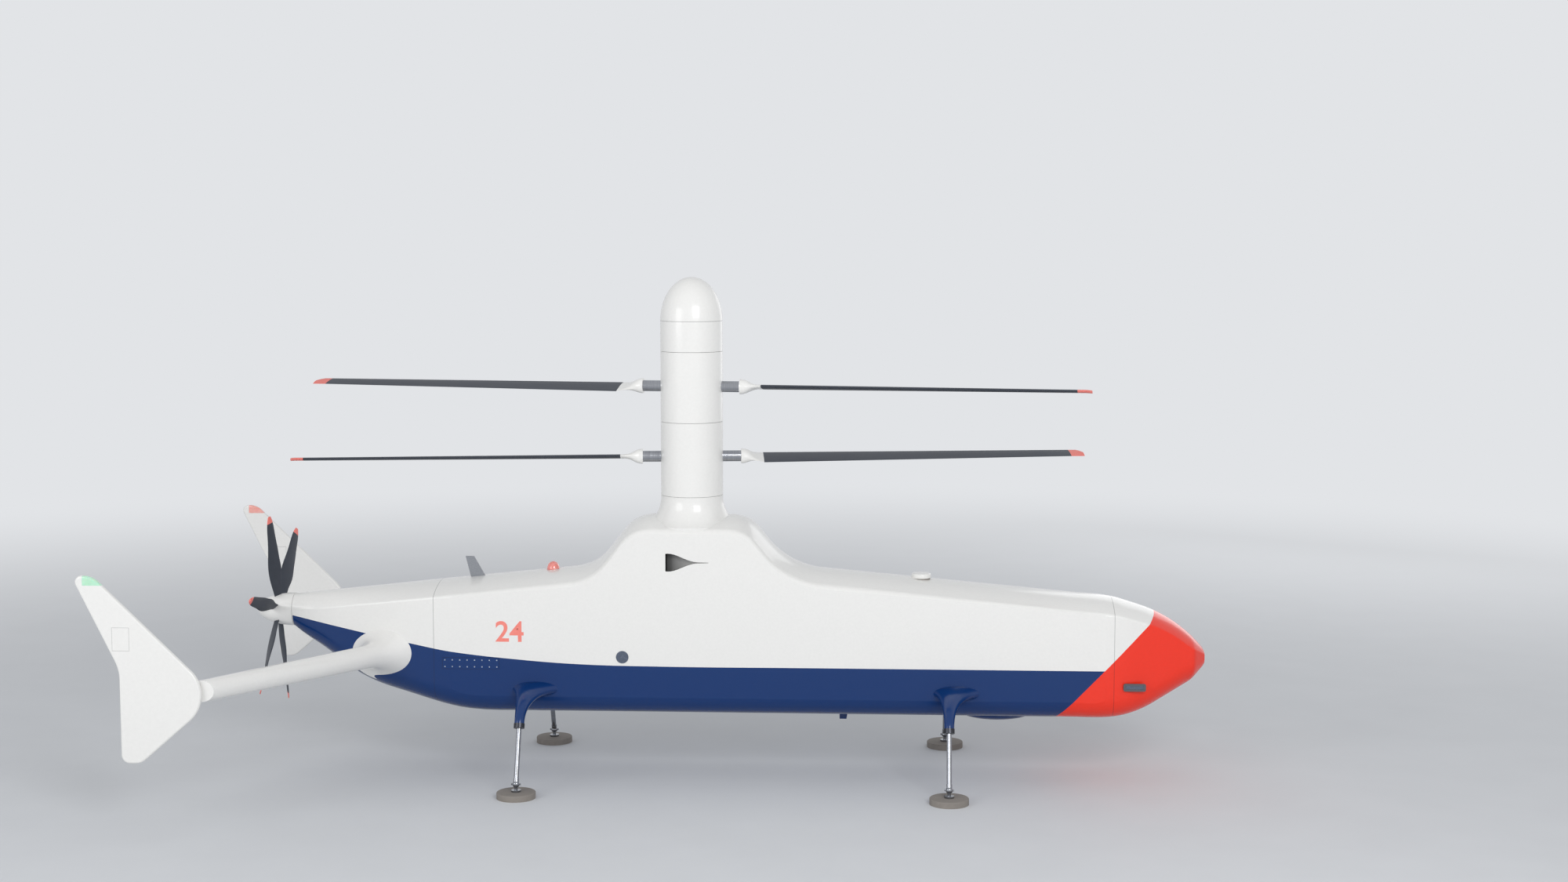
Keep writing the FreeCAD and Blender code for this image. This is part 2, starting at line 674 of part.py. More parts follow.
spinner = primitive(
    "Ellipsoid", "spinner", Radius1="spinner_length", Radius2="tail_round", Radius3="tail_round",
)
spinner.Angle1 = 0
spinner.Placement = Placement(Vector(0, 0, 0), Rotation(Vector(0, 1, 0), -90))
bind(spinner, Placement__Base__x="tail_x - running_gap", Placement__Base__z="tail_axis_z")
subpart(spinner, "tail_spinner")
shaft = primitive(
    "Cylinder", "tail_shaft", Radius="tail_shaft_radius", Height="shaft_depth + running_gap",
)
shaft.Placement = Placement(Vector(0, 0, 0), Rotation(Vector(0, 1, 0), 90))
bind(shaft, Placement__Base__x="tail_x - running_gap", Placement__Base__z="tail_axis_z")
subpart(shaft, "tail_shaft")


def propeller_blade(angle):
    """A twisted blade: narrow root, broad middle, small rounded tip."""
    radius = size("propeller_radius")
    widest = size("propeller_chord")
    centre = Vector(tail_x - size("running_gap") - size("propeller_station"), 0, tail_axis_z)
    turn = math.radians(angle)
    outward = Vector(0, -math.cos(turn), math.sin(turn))
    motion = outward.cross(Vector(1, 0, 0))
    wires = []
    for share, width, pitch in (
        (0.1, 0.4, 54), (0.24, 0.66, 48), (0.4, 1.0, 39),
        (0.6, 0.92, 31), (0.8, 0.72, 26), (0.95, 0.5, 23), (1.0, 0.26, 22),
    ):
        slope = math.radians(pitch)
        forward = motion * math.cos(slope) + Vector(math.sin(slope), 0, 0)
        upward = Vector(math.cos(slope), 0, 0) - motion * math.sin(slope)
        middle = centre + outward * (share * radius)
        half_chord = width * widest / 2
        half_thickness = 0.03 * widest + 0.06 * half_chord
        lens = Part.Ellipse(middle + forward * half_chord, middle + upward * half_thickness, middle)
        wires.append(Part.Wire(lens.toShape()))
    return Part.makeLoft(wires, True, False)


blade_blanks = []
for number in range(6):
    blade_angle = size("propeller_turn") + 60 * number
    blade_blanks.append(shaped(f"propeller_blade_{number}", propeller_blade(blade_angle)))
subpart(cut("propeller_blades", grouped("blade_blanks", blade_blanks), spinner), "tail_blades")

# ---------------------------------------------------------------- booms and fins


def ellipse_wire(centre, upward, half_length, half_height):
    """An ellipse with its long axis along X."""
    long_end = centre + Vector(half_length + 0.01, 0, 0)
    curve = Part.Ellipse(long_end, centre + upward * half_height, centre)
    return Part.Wire(curve.toShape())


def boom(side):
    """Tapered tube from the fuselage side to the fin, with a trumpet-shaped root."""
    root_x = size("boom_root_x")
    root = Vector(root_x, side_line(root_x), size("boom_root_z"))
    end_y = size("fin_offset") - size("fin_thickness") / 2
    end = Vector(size("boom_end_x"), end_y, size("boom_end_z"))
    stretch = 1 / math.cos(math.atan2(root.x - end.x, end.y - root.y))
    reach = size("boom_flare_reach")
    spread_long = size("boom_flare_length") / 2 - stretch * size("boom_root_radius")
    spread_tall = size("boom_flare_height") / 2 - size("boom_root_radius")

    def section(y):
        share = (y - root.y) / (end.y - root.y)
        radius = size("boom_root_radius") + share * (size("boom_end_radius") - size("boom_root_radius"))
        flare = max(0, (root.y + reach - y) / reach) ** 2.6
        centre = root + (end - root) * share
        centre.y *= side
        half_length = stretch * radius + flare * spread_long
        return ellipse_wire(centre, Vector(0, 0, 1), half_length, radius + flare * spread_tall)

    hidden = 50
    flare_end = root.y + reach
    trumpet = [section(y) for y in spread(root.y - hidden, flare_end, 7) + [flare_end]]
    tube = [section(flare_end), section(end_y)]
    return Part.makeLoft(trumpet, True, False).fuse(Part.makeLoft(tube, True, True))


FIN_CORNERS = [
    ("fin_tip_x - 8", "fin_tip_z", 26),
    ("fin_tip_x + 74", "fin_tip_z", 82),
    ("fin_tip_x + 564", "fin_tip_z - 477", 136),
    ("fin_tip_x + 253", "fin_foot_z", 60),
    ("fin_tip_x + 174", "fin_foot_z", 34),
    ("fin_tip_x + 174", "fin_foot_z + 374", 170),
]


def fin(side, word):
    """Flat fin with rounded corners and edges; its top is divided off as a lamp."""
    body = document.addObject("PartDesign::Body", f"fin_{word}")
    sketch = sketch_outline(body, "XZ_Plane", [corner[:2] for corner in FIN_CORNERS])
    pad = body.newObject("PartDesign::Pad", f"fin_{word}_pad")
    pad.Profile = sketch
    pad.Midplane = True
    bind(pad, Length="fin_thickness")
    document.recompute()
    base = pad
    for number, corner in enumerate(FIN_CORNERS):
        x, z = sketch_point(sketch, number)
        names = []
        for index, edge in enumerate(base.Shape.Edges, start=1):
            middle = edge.CenterOfMass
            if abs(middle.x - x) < 0.5 and abs(middle.z - z) < 0.5 and abs(middle.y) < 0.5:
                names.append(f"Edge{index}")
        rounding = body.newObject("PartDesign::Fillet", f"fin_{word}_corner_{number}")
        rounding.Base = (base, names)
        rounding.Radius = corner[2]
        document.recompute()
        base = rounding
    faces = [
        f"Face{index}" for index, face in enumerate(base.Shape.Faces, start=1)
        if abs(abs(face.CenterOfMass.y) - size("fin_thickness") / 2) < 0.01
    ]
    edging = body.newObject("PartDesign::Fillet", f"fin_{word}_edges")
    edging.Base = (base, faces)
    bind(edging, Radius="fin_edge_round")
    body.Tip = edging
    bind(body, Placement__Base__y=f"fin_offset * {side}")
    return body


def sketch_point(sketch, number):
    point = sketch.getPoint(number, 1)
    return point.x, point.y


for side, word in ((-1, "right"), (1, "left")):
    plate = fin(side, word)
    lens_block = primitive(
        "Box", f"lens_block_{word}", Length="200", Width="fin_thickness * 4", Height="200",
        Placement__Base__x="fin_tip_x + 38",
        Placement__Base__y=f"fin_offset * {side} - fin_thickness * 2",
        Placement__Base__z="fin_tip_z - 38",
    )
    subpart(cut(f"fin_plate_{word}", plate, lens_block), f"{word}_fin")
    subpart(common(f"fin_lamp_{word}", plate, lens_block), f"{word}_nav_light")
    subpart(cut(f"boom_{word}", shaped(f"boom_blank_{word}", boom(side)), hull), f"{word}_tail_boom")

# ---------------------------------------------------------------- landing gear


def leg_axis(leg_x, side):
    """Ankle pivot, collar centre and the unit vector from one to the other."""
    ankle = Vector(leg_x, side * size("foot_y"), size("ankle_z"))
    top = Vector(leg_x, side * size("collar_y"), size("leg_collar_z"))
    direction = top - ankle
    direction.normalize()
    return ankle, top, direction


def rod(name, start, direction, **links):
    """A bound cylinder from a point along a direction."""
    item = primitive("Cylinder", name, **links)
    item.Placement = Placement(start, Rotation(Vector(0, 0, 1), direction))
    return item


def horn(leg_x, side):
    """Curved fairing that spreads from the round collar to a long oval on the fuselage side."""
    ankle, top, direction = leg_axis(leg_x, side)
    half_collar = size("leg_collar_length") / 2
    start = top + direction * half_collar
    start_radius = size("leg_collar_radius") - 1.5
    root = Vector(leg_x, side * half_width, size("horn_root_z"))
    pull_start = start + direction * 70
    pull_root = root + Vector(0, side * 60, 0)
    half_length = size("horn_root_length") / 2
    half_height = size("horn_root_height") / 2
    wires = []
    for share in (0, 0.12, 0.28, 0.45, 0.6, 0.75, 0.88, 1.0):
        rest = 1 - share
        centre = start * rest**3 + pull_start * (3 * rest * rest * share)
        centre += pull_root * (3 * rest * share * share) + root * share**3
        tangent = (pull_start - start) * (rest * rest) + (pull_root - pull_start) * (2 * rest * share)
        tangent += (root - pull_root) * (share * share)
        tangent.normalize()
        upward = tangent.cross(Vector(1, 0, 0))
        upward.normalize()
        spread_share = share**2.4
        along = start_radius + spread_share * (half_length - start_radius)
        tall = start_radius + spread_share * (half_height - start_radius)
        centre.x += 0.45 * (along - start_radius)
        wires.append(ellipse_wire(centre, upward, along, tall))
    return Part.makeLoft(wires, True, False)


leg_collars = []
for place, leg_cell in (("front", "front_leg_x"), ("rear", "rear_leg_x")):
    for word, side in (("right", -1), ("left", 1)):
        leg = f"{place}_{word}"
        leg_x = size(leg_cell)
        ankle, top, direction = leg_axis(leg_x, side)
        socket_length = 24
        half_collar = size("leg_collar_length") / 2
        pad = primitive(
            "Cylinder", f"{leg}_pad", Radius="pad_radius", Height="pad_thickness",
            Placement__Base__x=leg_cell, Placement__Base__y=f"foot_y * {side}",
        )
        subpart(pad, f"{leg}_foot_pad")
        boss = primitive(
            "Cylinder", f"{leg}_boss", Radius="ball_radius + 6", Height="8",
            Placement__Base__x=leg_cell, Placement__Base__y=f"foot_y * {side}",
            Placement__Base__z="pad_thickness",
        )
        neck = primitive(
            "Cylinder", f"{leg}_neck", Radius="ball_radius / 2", Height="ankle_z - pad_thickness",
            Placement__Base__x=leg_cell, Placement__Base__y=f"foot_y * {side}",
            Placement__Base__z="pad_thickness",
        )
        ball = primitive(
            "Sphere", f"{leg}_ball", Radius="ball_radius", Placement__Base__x=leg_cell,
            Placement__Base__y=f"foot_y * {side}", Placement__Base__z="ankle_z",
        )
        socket = rod(
            f"{leg}_socket", ankle, direction, Radius="strut_radius + 1.5", Height=str(socket_length),
        )
        pin = rod(f"{leg}_pin", ankle - Vector(20, 0, 0), Vector(1, 0, 0), Radius="4", Height="40")
        subpart(fused(f"{leg}_ankle", [boss, neck, ball, socket, pin]), f"{leg}_foot_joint")
        strut_length = (top - ankle).Length - half_collar - socket_length
        strut = rod(
            f"{leg}_strut", ankle + direction * socket_length, direction,
            Radius="strut_radius", Height=str(strut_length),
        )
        subpart(strut, f"{leg}_leg_strut")
        leg_collars.append(rod(
            f"{leg}_collar", top - direction * half_collar, direction,
            Radius="leg_collar_radius", Height="leg_collar_length",
        ))
        subpart(shaped(f"{leg}_horn", horn(leg_x, side)), f"{leg}_leg_fairing")
subpart(grouped("all_leg_collars", leg_collars), "leg_collars")

# ---------------------------------------------------------------- small fittings on the spine and belly


def blade_aerial(name, points, thickness):
    """A flat swept blade standing in the centre plane."""
    body = document.addObject("PartDesign::Body", name)
    sketch = sketch_outline(body, "XZ_Plane", points)
    pad = body.newObject("PartDesign::Pad", f"{name}_pad")
    pad.Profile = sketch
    pad.Midplane = True
    bind(pad, Length=thickness)
    body.Tip = pad
    return body


spine_aerial = blade_aerial("spine_aerial", [
    ("aerial_x - 34", "aerial_root_z"),
    ("aerial_x + 36", "aerial_root_z"),
    ("aerial_x - 24", "aerial_root_z + aerial_height"),
    ("aerial_x - 60", "aerial_root_z + aerial_height"),
], "aerial_thickness")
subpart(cut("spine_aerial_fitted", spine_aerial, hull), "blade_antenna")
belly_aerial = blade_aerial("belly_aerial", [
    ("belly_aerial_x - 22", "belly_z + 20"),
    ("belly_aerial_x + 20", "belly_z + 20"),
    ("belly_aerial_x + 8", "belly_z - belly_aerial_depth"),
    ("belly_aerial_x - 22", "belly_z - belly_aerial_depth"),
], "aerial_thickness")
subpart(cut("belly_aerial_fitted", belly_aerial, hull), "belly_antenna")

beacon = primitive(
    "Ellipsoid", "beacon", Radius1="beacon_height", Radius2="beacon_radius", Radius3="beacon_radius",
    Placement__Base__x="beacon_x", Placement__Base__z="beacon_z",
)
subpart(cut("beacon_fitted", beacon, hull), "beacon_light")
puck = primitive(
    "Cylinder", "puck", Radius="puck_radius", Height="puck_height + 30",
    Placement__Base__x="puck_x", Placement__Base__z="puck_z - 30",
)
subpart(cut("puck_fitted", puck, hull), "gps_antenna")
blister = primitive(
    "Ellipsoid", "blister", Radius1="blister_depth", Radius2="blister_length / 2",
    Radius3="blister_width / 2", Placement__Base__x="blister_x", Placement__Base__z="belly_z",
)
subpart(cut("blister_fitted", blister, hull), "belly_dome")

# ---------------------------------------------------------------- checks and output

document.recompute()
for item in document.Objects:
    for state in ("Invalid", "Error"):
        if state in item.State:
            raise RuntimeError(f"{item.Name} is {state}")
for item in subparts:
    if item.Shape.isNull() or not item.Shape.isValid():
        raise RuntimeError(f"{item.Label} has no valid shape")
os.makedirs("parts", exist_ok=True)
for item in subparts:
    item.Shape.exportStep(f"parts/{item.Label}.step")
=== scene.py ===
"""Looks of the unmanned coaxial helicopter. Metres, +X towards the nose, +Y port, +Z up."""

import math

import bmesh
import bpy
from mathutils import Matrix, Vector


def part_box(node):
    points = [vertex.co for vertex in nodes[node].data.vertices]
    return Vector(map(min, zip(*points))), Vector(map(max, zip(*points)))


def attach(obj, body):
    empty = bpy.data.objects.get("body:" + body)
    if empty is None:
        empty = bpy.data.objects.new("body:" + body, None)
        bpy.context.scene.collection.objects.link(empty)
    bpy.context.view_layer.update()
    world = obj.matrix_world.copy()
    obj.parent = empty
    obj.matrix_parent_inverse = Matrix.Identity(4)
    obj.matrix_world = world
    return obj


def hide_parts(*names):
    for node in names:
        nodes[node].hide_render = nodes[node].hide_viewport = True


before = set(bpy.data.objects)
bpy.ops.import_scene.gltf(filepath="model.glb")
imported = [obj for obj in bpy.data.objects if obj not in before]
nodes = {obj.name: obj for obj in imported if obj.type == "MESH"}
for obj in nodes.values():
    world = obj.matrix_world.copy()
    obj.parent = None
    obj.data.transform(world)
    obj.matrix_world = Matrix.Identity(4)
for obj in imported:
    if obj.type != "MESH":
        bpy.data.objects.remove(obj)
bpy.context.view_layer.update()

# ---------------------------------------------------------------- fuselage shell
# Slab-sided shell of carbon fibre in three sections, butted at two joints and sprayed in two-part
# polyurethane: white above a navy belly, and a red nose divided off at about 45 degrees. The
# colours were masked on the finished shell and lie under one clear coat.


def linear(code):
    """An sRGB hex colour as the shader's linear values."""
    levels = [int(code[place:place + 2], 16) / 255 for place in (1, 3, 5)]
    return [v / 12.92 if v <= 0.04045 else ((v + 0.055) / 1.055) ** 2.4 for v in levels] + [1.0]


def add_node(tree, kind, inputs=None, **settings):
    """A node with its settings, and its inputs set to values or linked to sockets."""
    node = tree.nodes.new(kind)
    for key, value in settings.items():
        setattr(node, key, value)
    for key, value in (inputs or {}).items():
        if isinstance(value, bpy.types.NodeSocket):
            tree.links.new(value, node.inputs[key])
        else:
            node.inputs[key].default_value = value
    return node


def new_material(name, **values):
    """A material with its shader's own values, and the object's coordinates."""
    material = bpy.data.materials.new(name)
    material.use_nodes = True
    tree = material.node_tree
    shader = tree.nodes["Principled BSDF"]
    for key, value in values.items():
        shader.inputs[key.replace("_", " ")].default_value = value
    return material, tree, shader, add_node(tree, "ShaderNodeTexCoord").outputs["Object"]


def finish(material, *names):
    """Give CAD nodes this material."""
    for name in names:
        nodes[name].data.materials.clear()
        nodes[name].data.materials.append(material)


ORANGE_PEEL = 0.006     # real peel is about 2 mm across, drawn coarser so that it shows
DUST_PATCH = 0.4        # faint patches of dust and handling on the clear coat
DUST_SPECK = 0.011      # settled specks, drawn coarser than the real ones


def sprayed(tree, shader, place, colour, roughness=0.22, groove=None):
    """Gloss paint: peel in the coat, a thin uneven film of dust that dulls it, and dark grooves."""
    patches = add_node(tree, "ShaderNodeTexNoise", {
        "Vector": place, "Scale": 1 / DUST_PATCH, "Detail": 6.0,
    })
    film = add_node(tree, "ShaderNodeMapRange", {
        "Value": patches.outputs["Fac"], "From Min": 0.35, "From Max": 0.75, "To Max": 1.0,
    })
    specks = add_node(tree, "ShaderNodeTexNoise", {
        "Vector": place, "Scale": 1 / DUST_SPECK, "Detail": 3.0,
    })
    shade = add_node(tree, "ShaderNodeMapRange", {
        "Value": specks.outputs["Fac"], "From Min": 0.3, "From Max": 0.7,
        "To Min": 0.975, "To Max": 1.0,
    })
    tone = add_node(tree, "ShaderNodeMix", {
        "Factor": 1.0, 6: colour, 7: shade.outputs["Result"],
    }, data_type="RGBA", blend_type="MULTIPLY")
    gloss = add_node(tree, "ShaderNodeMapRange", {
        "Value": film.outputs["Result"], "To Min": roughness, "To Max": roughness + 0.05,
    })
    peel = add_node(tree, "ShaderNodeTexNoise", {
        "Vector": place, "Scale": 1 / ORANGE_PEEL, "Detail": 1.0,
    })
    bump = add_node(tree, "ShaderNodeBump", {
        "Height": peel.outputs["Fac"], "Strength": 0.02, "Distance": 0.001,
    })
    painted = tone.outputs[2]
    if groove is not None:
        shadow = add_node(tree, "ShaderNodeMix", {
            "Factor": 0.36, 6: painted, 7: linear("#1A1B1E"),
        }, data_type="RGBA")
        painted = add_node(tree, "ShaderNodeMix", {
            "Factor": groove, 6: painted, 7: shadow.outputs[2],
        }, data_type="RGBA").outputs[2]
    tree.links.new(painted, shader.inputs["Base Color"])
    tree.links.new(gloss.outputs["Result"], shader.inputs["Roughness"])
    tree.links.new(bump.outputs["Normal"], shader.inputs["Normal"])
    shader.inputs["Specular IOR Level"].default_value = 0.3
    shader.inputs["Coat Weight"].default_value = 0.3
    shader.inputs["Coat Roughness"].default_value = 0.06


WHITE = "#ECEBE8"
NAVY = "#00306A"
RED = "#F2341E"
SEAM_HALF = 0.0016      # a real joint is under 1 mm wide, drawn wider so that it shows
TAIL_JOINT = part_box("tail_fuselage")[1][0]
NOSE_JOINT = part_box("nose_cone")[0][0]
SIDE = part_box("centre_fuselage")[1][1]

# The paint's upper edge along the belly, aft to fore: level under the mast, rising to the tail.
PAINT_EDGE = [
    (-1.72, 0.692), (-1.37, 0.626), (-1.13, 0.585), (-0.95, 0.555), (-0.68, 0.527),
    (-0.41, 0.509), (-0.1, 0.503), (0.6, 0.503), (2.3, 0.503),
]
NOSE_SLOPE = 0.963      # the nose band leans back this much for each metre of height
NOSE_BAND = 1.350       # where the band's line would meet the ground

livery, tree, shader, place = new_material("polyurethane_livery")
split = add_node(tree, "ShaderNodeSeparateXYZ", {0: place})
x, y, z = split.outputs["X"], split.outputs["Y"], split.outputs["Z"]
edge_start, edge_end = PAINT_EDGE[0][0], PAINT_EDGE[-1][0]
along = add_node(tree, "ShaderNodeMapRange", {"Value": x, "From Min": edge_start, "From Max": edge_end})
waterline = add_node(tree, "ShaderNodeFloatCurve", {"Value": along.outputs["Result"]})
curve = waterline.mapping.curves[0]
curve.points[0].location = (0, PAINT_EDGE[0][1])
curve.points[1].location = (1, PAINT_EDGE[-1][1])
for edge_x, edge_z in PAINT_EDGE[1:-1]:
    curve.points.new((edge_x - edge_start) / (edge_end - edge_start), edge_z)
waterline.mapping.update()
below = add_node(tree, "ShaderNodeMath", {0: z, 1: waterline.outputs["Value"]}, operation="LESS_THAN")
leaned = add_node(tree, "ShaderNodeMath", {0: z, 1: -NOSE_SLOPE, 2: x}, operation="MULTIPLY_ADD")
ahead = add_node(tree, "ShaderNodeMath", {0: leaned.outputs[0], 1: NOSE_BAND}, operation="GREATER_THAN")
two_tone = add_node(tree, "ShaderNodeMix", {
    "Factor": below.outputs[0], 6: linear(WHITE), 7: linear(NAVY),
}, data_type="RGBA")
three_tone = add_node(tree, "ShaderNodeMix", {
    "Factor": ahead.outputs[0], 6: two_tone.outputs[2], 7: linear(RED),
}, data_type="RGBA")
near_tail_joint = add_node(tree, "ShaderNodeMath", {
    0: x, 1: TAIL_JOINT, 2: SEAM_HALF,
}, operation="COMPARE")
near_nose_joint = add_node(tree, "ShaderNodeMath", {
    0: x, 1: NOSE_JOINT, 2: SEAM_HALF,
}, operation="COMPARE")
joints = add_node(tree, "ShaderNodeMath", {
    0: near_tail_joint.outputs[0], 1: near_nose_joint.outputs[0],
}, operation="MAXIMUM")


def outline(tree, x, z, middle, half, width):
    """Where an upright rectangle's outline runs: 1 on a line of this width, 0 elsewhere."""
    beyond = []
    for level, centre, reach in ((x, middle[0], half[0]), (z, middle[1], half[1])):
        off = add_node(tree, "ShaderNodeMath", {0: level, 1: centre}, operation="SUBTRACT")
        off = add_node(tree, "ShaderNodeMath", {0: off.outputs[0]}, operation="ABSOLUTE")
        beyond.append(add_node(tree, "ShaderNodeMath", {
            0: off.outputs[0], 1: reach,
        }, operation="SUBTRACT"))
    outside = add_node(tree, "ShaderNodeMath", {
        0: beyond[0].outputs[0], 1: beyond[1].outputs[0],
    }, operation="MAXIMUM")
    return add_node(tree, "ShaderNodeMath", {
        0: outside.outputs[0], 1: 0.0, 2: width / 2,
    }, operation="COMPARE")


# The joint around each service panel.
PANEL_JOINT = 0.0026
low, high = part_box("service_panels")
panel_joint = outline(
    tree, x, z, ((low[0] + high[0]) / 2, (low[2] + high[2]) / 2),
    ((high[0] - low[0] + PANEL_JOINT) / 2, (high[2] - low[2] + PANEL_JOINT) / 2), PANEL_JOINT,
)
joints = add_node(tree, "ShaderNodeMath", {
    0: joints.outputs[0], 1: panel_joint.outputs[0],
}, operation="MAXIMUM")

# The flush inlets are lined in unpainted grey laminate. Painted shade darkens the lining with depth,
# and the rear wall is painted near black as shade.
INLET_LIP = -0.039
INLET_POINT = 0.149
INLET_MIDDLE = (0.055, 0.954)
INLET_HALF = (0.1, 0.042)
LINER_START = 0.0008    # the lining begins this far inside the skin
inset = add_node(tree, "ShaderNodeMath", {0: y}, operation="ABSOLUTE")
inset = add_node(tree, "ShaderNodeMath", {
    0: inset.outputs[0], 1: SIDE - LINER_START,
}, operation="LESS_THAN")
level = add_node(tree, "ShaderNodeMath", {
    0: z, 1: INLET_MIDDLE[1], 2: INLET_HALF[1],
}, operation="COMPARE")
reach = add_node(tree, "ShaderNodeMath", {
    0: x, 1: INLET_MIDDLE[0], 2: INLET_HALF[0],
}, operation="COMPARE")
lined = add_node(tree, "ShaderNodeMath", {
    0: inset.outputs[0], 1: level.outputs[0],
}, operation="MULTIPLY")
lined = add_node(tree, "ShaderNodeMath", {
    0: lined.outputs[0], 1: reach.outputs[0],
}, operation="MULTIPLY")
# Painted shade: the lining's grey darkens from the inlet's point towards its rear.
depth = add_node(tree, "ShaderNodeMapRange", {
    "Value": x, "From Min": INLET_LIP, "From Max": INLET_POINT,
})
liner_with_painted_shade = add_node(tree, "ShaderNodeMix", {
    "Factor": depth.outputs["Result"], 6: linear("#5C5C5B"), 7: linear("#C4C3C0"),
}, data_type="RGBA")
# Painted shade: the inlet's rear wall is painted near black.
rear_wall_painted_shade = add_node(tree, "ShaderNodeMath", {0: x, 1: INLET_LIP + 0.002}, operation="LESS_THAN")
liner_with_painted_shade = add_node(tree, "ShaderNodeMix", {
    "Factor": rear_wall_painted_shade.outputs[0], 6: liner_with_painted_shade.outputs[2], 7: linear("#08080A"),
}, data_type="RGBA")
shell = add_node(tree, "ShaderNodeMix", {
    "Factor": lined.outputs[0], 6: three_tone.outputs[2], 7: liner_with_painted_shade.outputs[2],
}, data_type="RGBA")
sprayed(tree, shader, place, shell.outputs[2], groove=joints.outputs[0])
finish(livery, "centre_fuselage", "tail_fuselage", "nose_cone")

# ---------------------------------------------------------------- side panels and ports
# Service panels in the navy of the belly, each held by two rows of eight countersunk steel screws,
# and a round sight port of smoked polycarbonate bonded flush into either side.

navy_paint, tree, shader, place = new_material("polyurethane_navy")
sprayed(tree, shader, place, linear(NAVY))
finish(navy_paint, "service_panels")

# Smoked polycarbonate: nearly black with a hard shine, and fine dust that greys it a little.
smoked, tree, shader, place = new_material("polycarbonate_smoked", Coat_Weight=0.8, Coat_Roughness=0.08)
dust = add_node(tree, "ShaderNodeTexNoise", {"Vector": place, "Scale": 60.0, "Detail": 5.0})
haze = add_node(tree, "ShaderNodeMix", {
    "Factor": dust.outputs["Fac"], 6: linear("#3E4859"), 7: linear("#566074"),
}, data_type="RGBA")
tree.links.new(haze.outputs[2], shader.inputs["Base Color"])
blur = add_node(tree, "ShaderNodeMapRange", {
    "Value": dust.outputs["Fac"], "To Min": 0.12, "To Max": 0.4,
})
tree.links.new(blur.outputs["Result"], shader.inputs["Roughness"])
finish(smoked, "side_ports")


def new_piece(name, shape, body, material):
    """A finished bmesh as a piece of the model, smooth but for its sharper edges."""
    bmesh.ops.remove_doubles(shape, verts=shape.verts[:], dist=1e-6)
    bmesh.ops.recalc_face_normals(shape, faces=shape.faces[:])
    for face in shape.faces:
        face.smooth = True
    for edge in shape.edges:
        if edge.is_manifold and edge.calc_face_angle() > math.radians(35):
            edge.smooth = False
    mesh = bpy.data.meshes.new(name)
    shape.to_mesh(mesh)
    shape.free()
    mesh.materials.append(material)
    piece = bpy.data.objects.new(name, mesh)
    bpy.context.collection.objects.link(piece)
    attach(piece, body)
    return piece


SCREW_RADIUS = 0.0034
SCREW_COLUMNS = 8
SCREW_HEAD = 0.0012     # height of a head, half of it sunk
SCREW_RECESS = 0.0005
SCREW_MARGIN = 0.009    # screws in from the panel's edges

# Zinc-plated steel: dull blue-grey metal, mottled by the plating bath.
zinc_steel, tree, shader, place = new_material("steel_zinc_plated", Metallic=1.0)
mottle = add_node(tree, "ShaderNodeTexNoise", {"Vector": place, "Scale": 700.0, "Detail": 2.0})
tone = add_node(tree, "ShaderNodeMix", {
    "Factor": mottle.outputs["Fac"], 6: linear("#8F99A8"), 7: linear("#C3CBD6"),
}, data_type="RGBA")
tree.links.new(tone.outputs[2], shader.inputs["Base Color"])
blur = add_node(tree, "ShaderNodeMapRange", {
    "Value": mottle.outputs["Fac"], "To Min": 0.3, "To Max": 0.5,
})
tree.links.new(blur.outputs["Result"], shader.inputs["Roughness"])

low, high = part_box("service_panels")
for side, word in ((-1, "right"), (1, "left")):
    screws = bmesh.new()
    for column in range(SCREW_COLUMNS):
        for row_z in (low[2] + SCREW_MARGIN, high[2] - SCREW_MARGIN):
            share = column / (SCREW_COLUMNS - 1)
            screw_x = low[0] + SCREW_MARGIN + share * (high[0] - low[0] - 2 * SCREW_MARGIN)
            spot = Matrix.Translation((screw_x, side * high[1], row_z))
            made = bmesh.ops.create_cone(
                screws, cap_ends=True, segments=16, radius1=SCREW_RADIUS, radius2=SCREW_RADIUS * 0.8,
                depth=SCREW_HEAD, matrix=spot @ Matrix.Rotation(-side * math.pi / 2, 4, "X"),
            )
            head = max(
                {face for vert in made["verts"] for face in vert.link_faces},
                key=lambda face: side * face.calc_center_median().y,
            )
            bmesh.ops.inset_individual(screws, faces=[head], thickness=SCREW_RADIUS * 0.45)
            bmesh.ops.translate(screws, verts=head.verts[:], vec=(0, -side * SCREW_RECESS, 0))
    new_piece(f"panel_screws_{word}", screws, "airframe", zinc_steel)

# ---------------------------------------------------------------- registration number
# Plain two-figure number cut from thin red vinyl film and stuck on both sides behind the mast.
# The film has faded, and its edges stand a hair above the paint.

NUMBER_LOW = (-0.775, 0.604)
NUMBER_SIZE = (0.122, 0.090)
FILM = 0.0004

vinyl, tree, shader, place = new_material("vinyl_film_red", Coat_Weight=0.25, Coat_Roughness=0.2)
fade = add_node(tree, "ShaderNodeTexNoise", {"Vector": place, "Scale": 35.0, "Detail": 4.0})
tone = add_node(tree, "ShaderNodeMix", {
    "Factor": fade.outputs["Fac"], 6: linear("#F2796B"), 7: linear("#F79488"),
}, data_type="RGBA")
tree.links.new(tone.outputs[2], shader.inputs["Base Color"])
blur = add_node(tree, "ShaderNodeMapRange", {
    "Value": fade.outputs["Fac"], "To Min": 0.35, "To Max": 0.55,
})
tree.links.new(blur.outputs["Result"], shader.inputs["Roughness"])

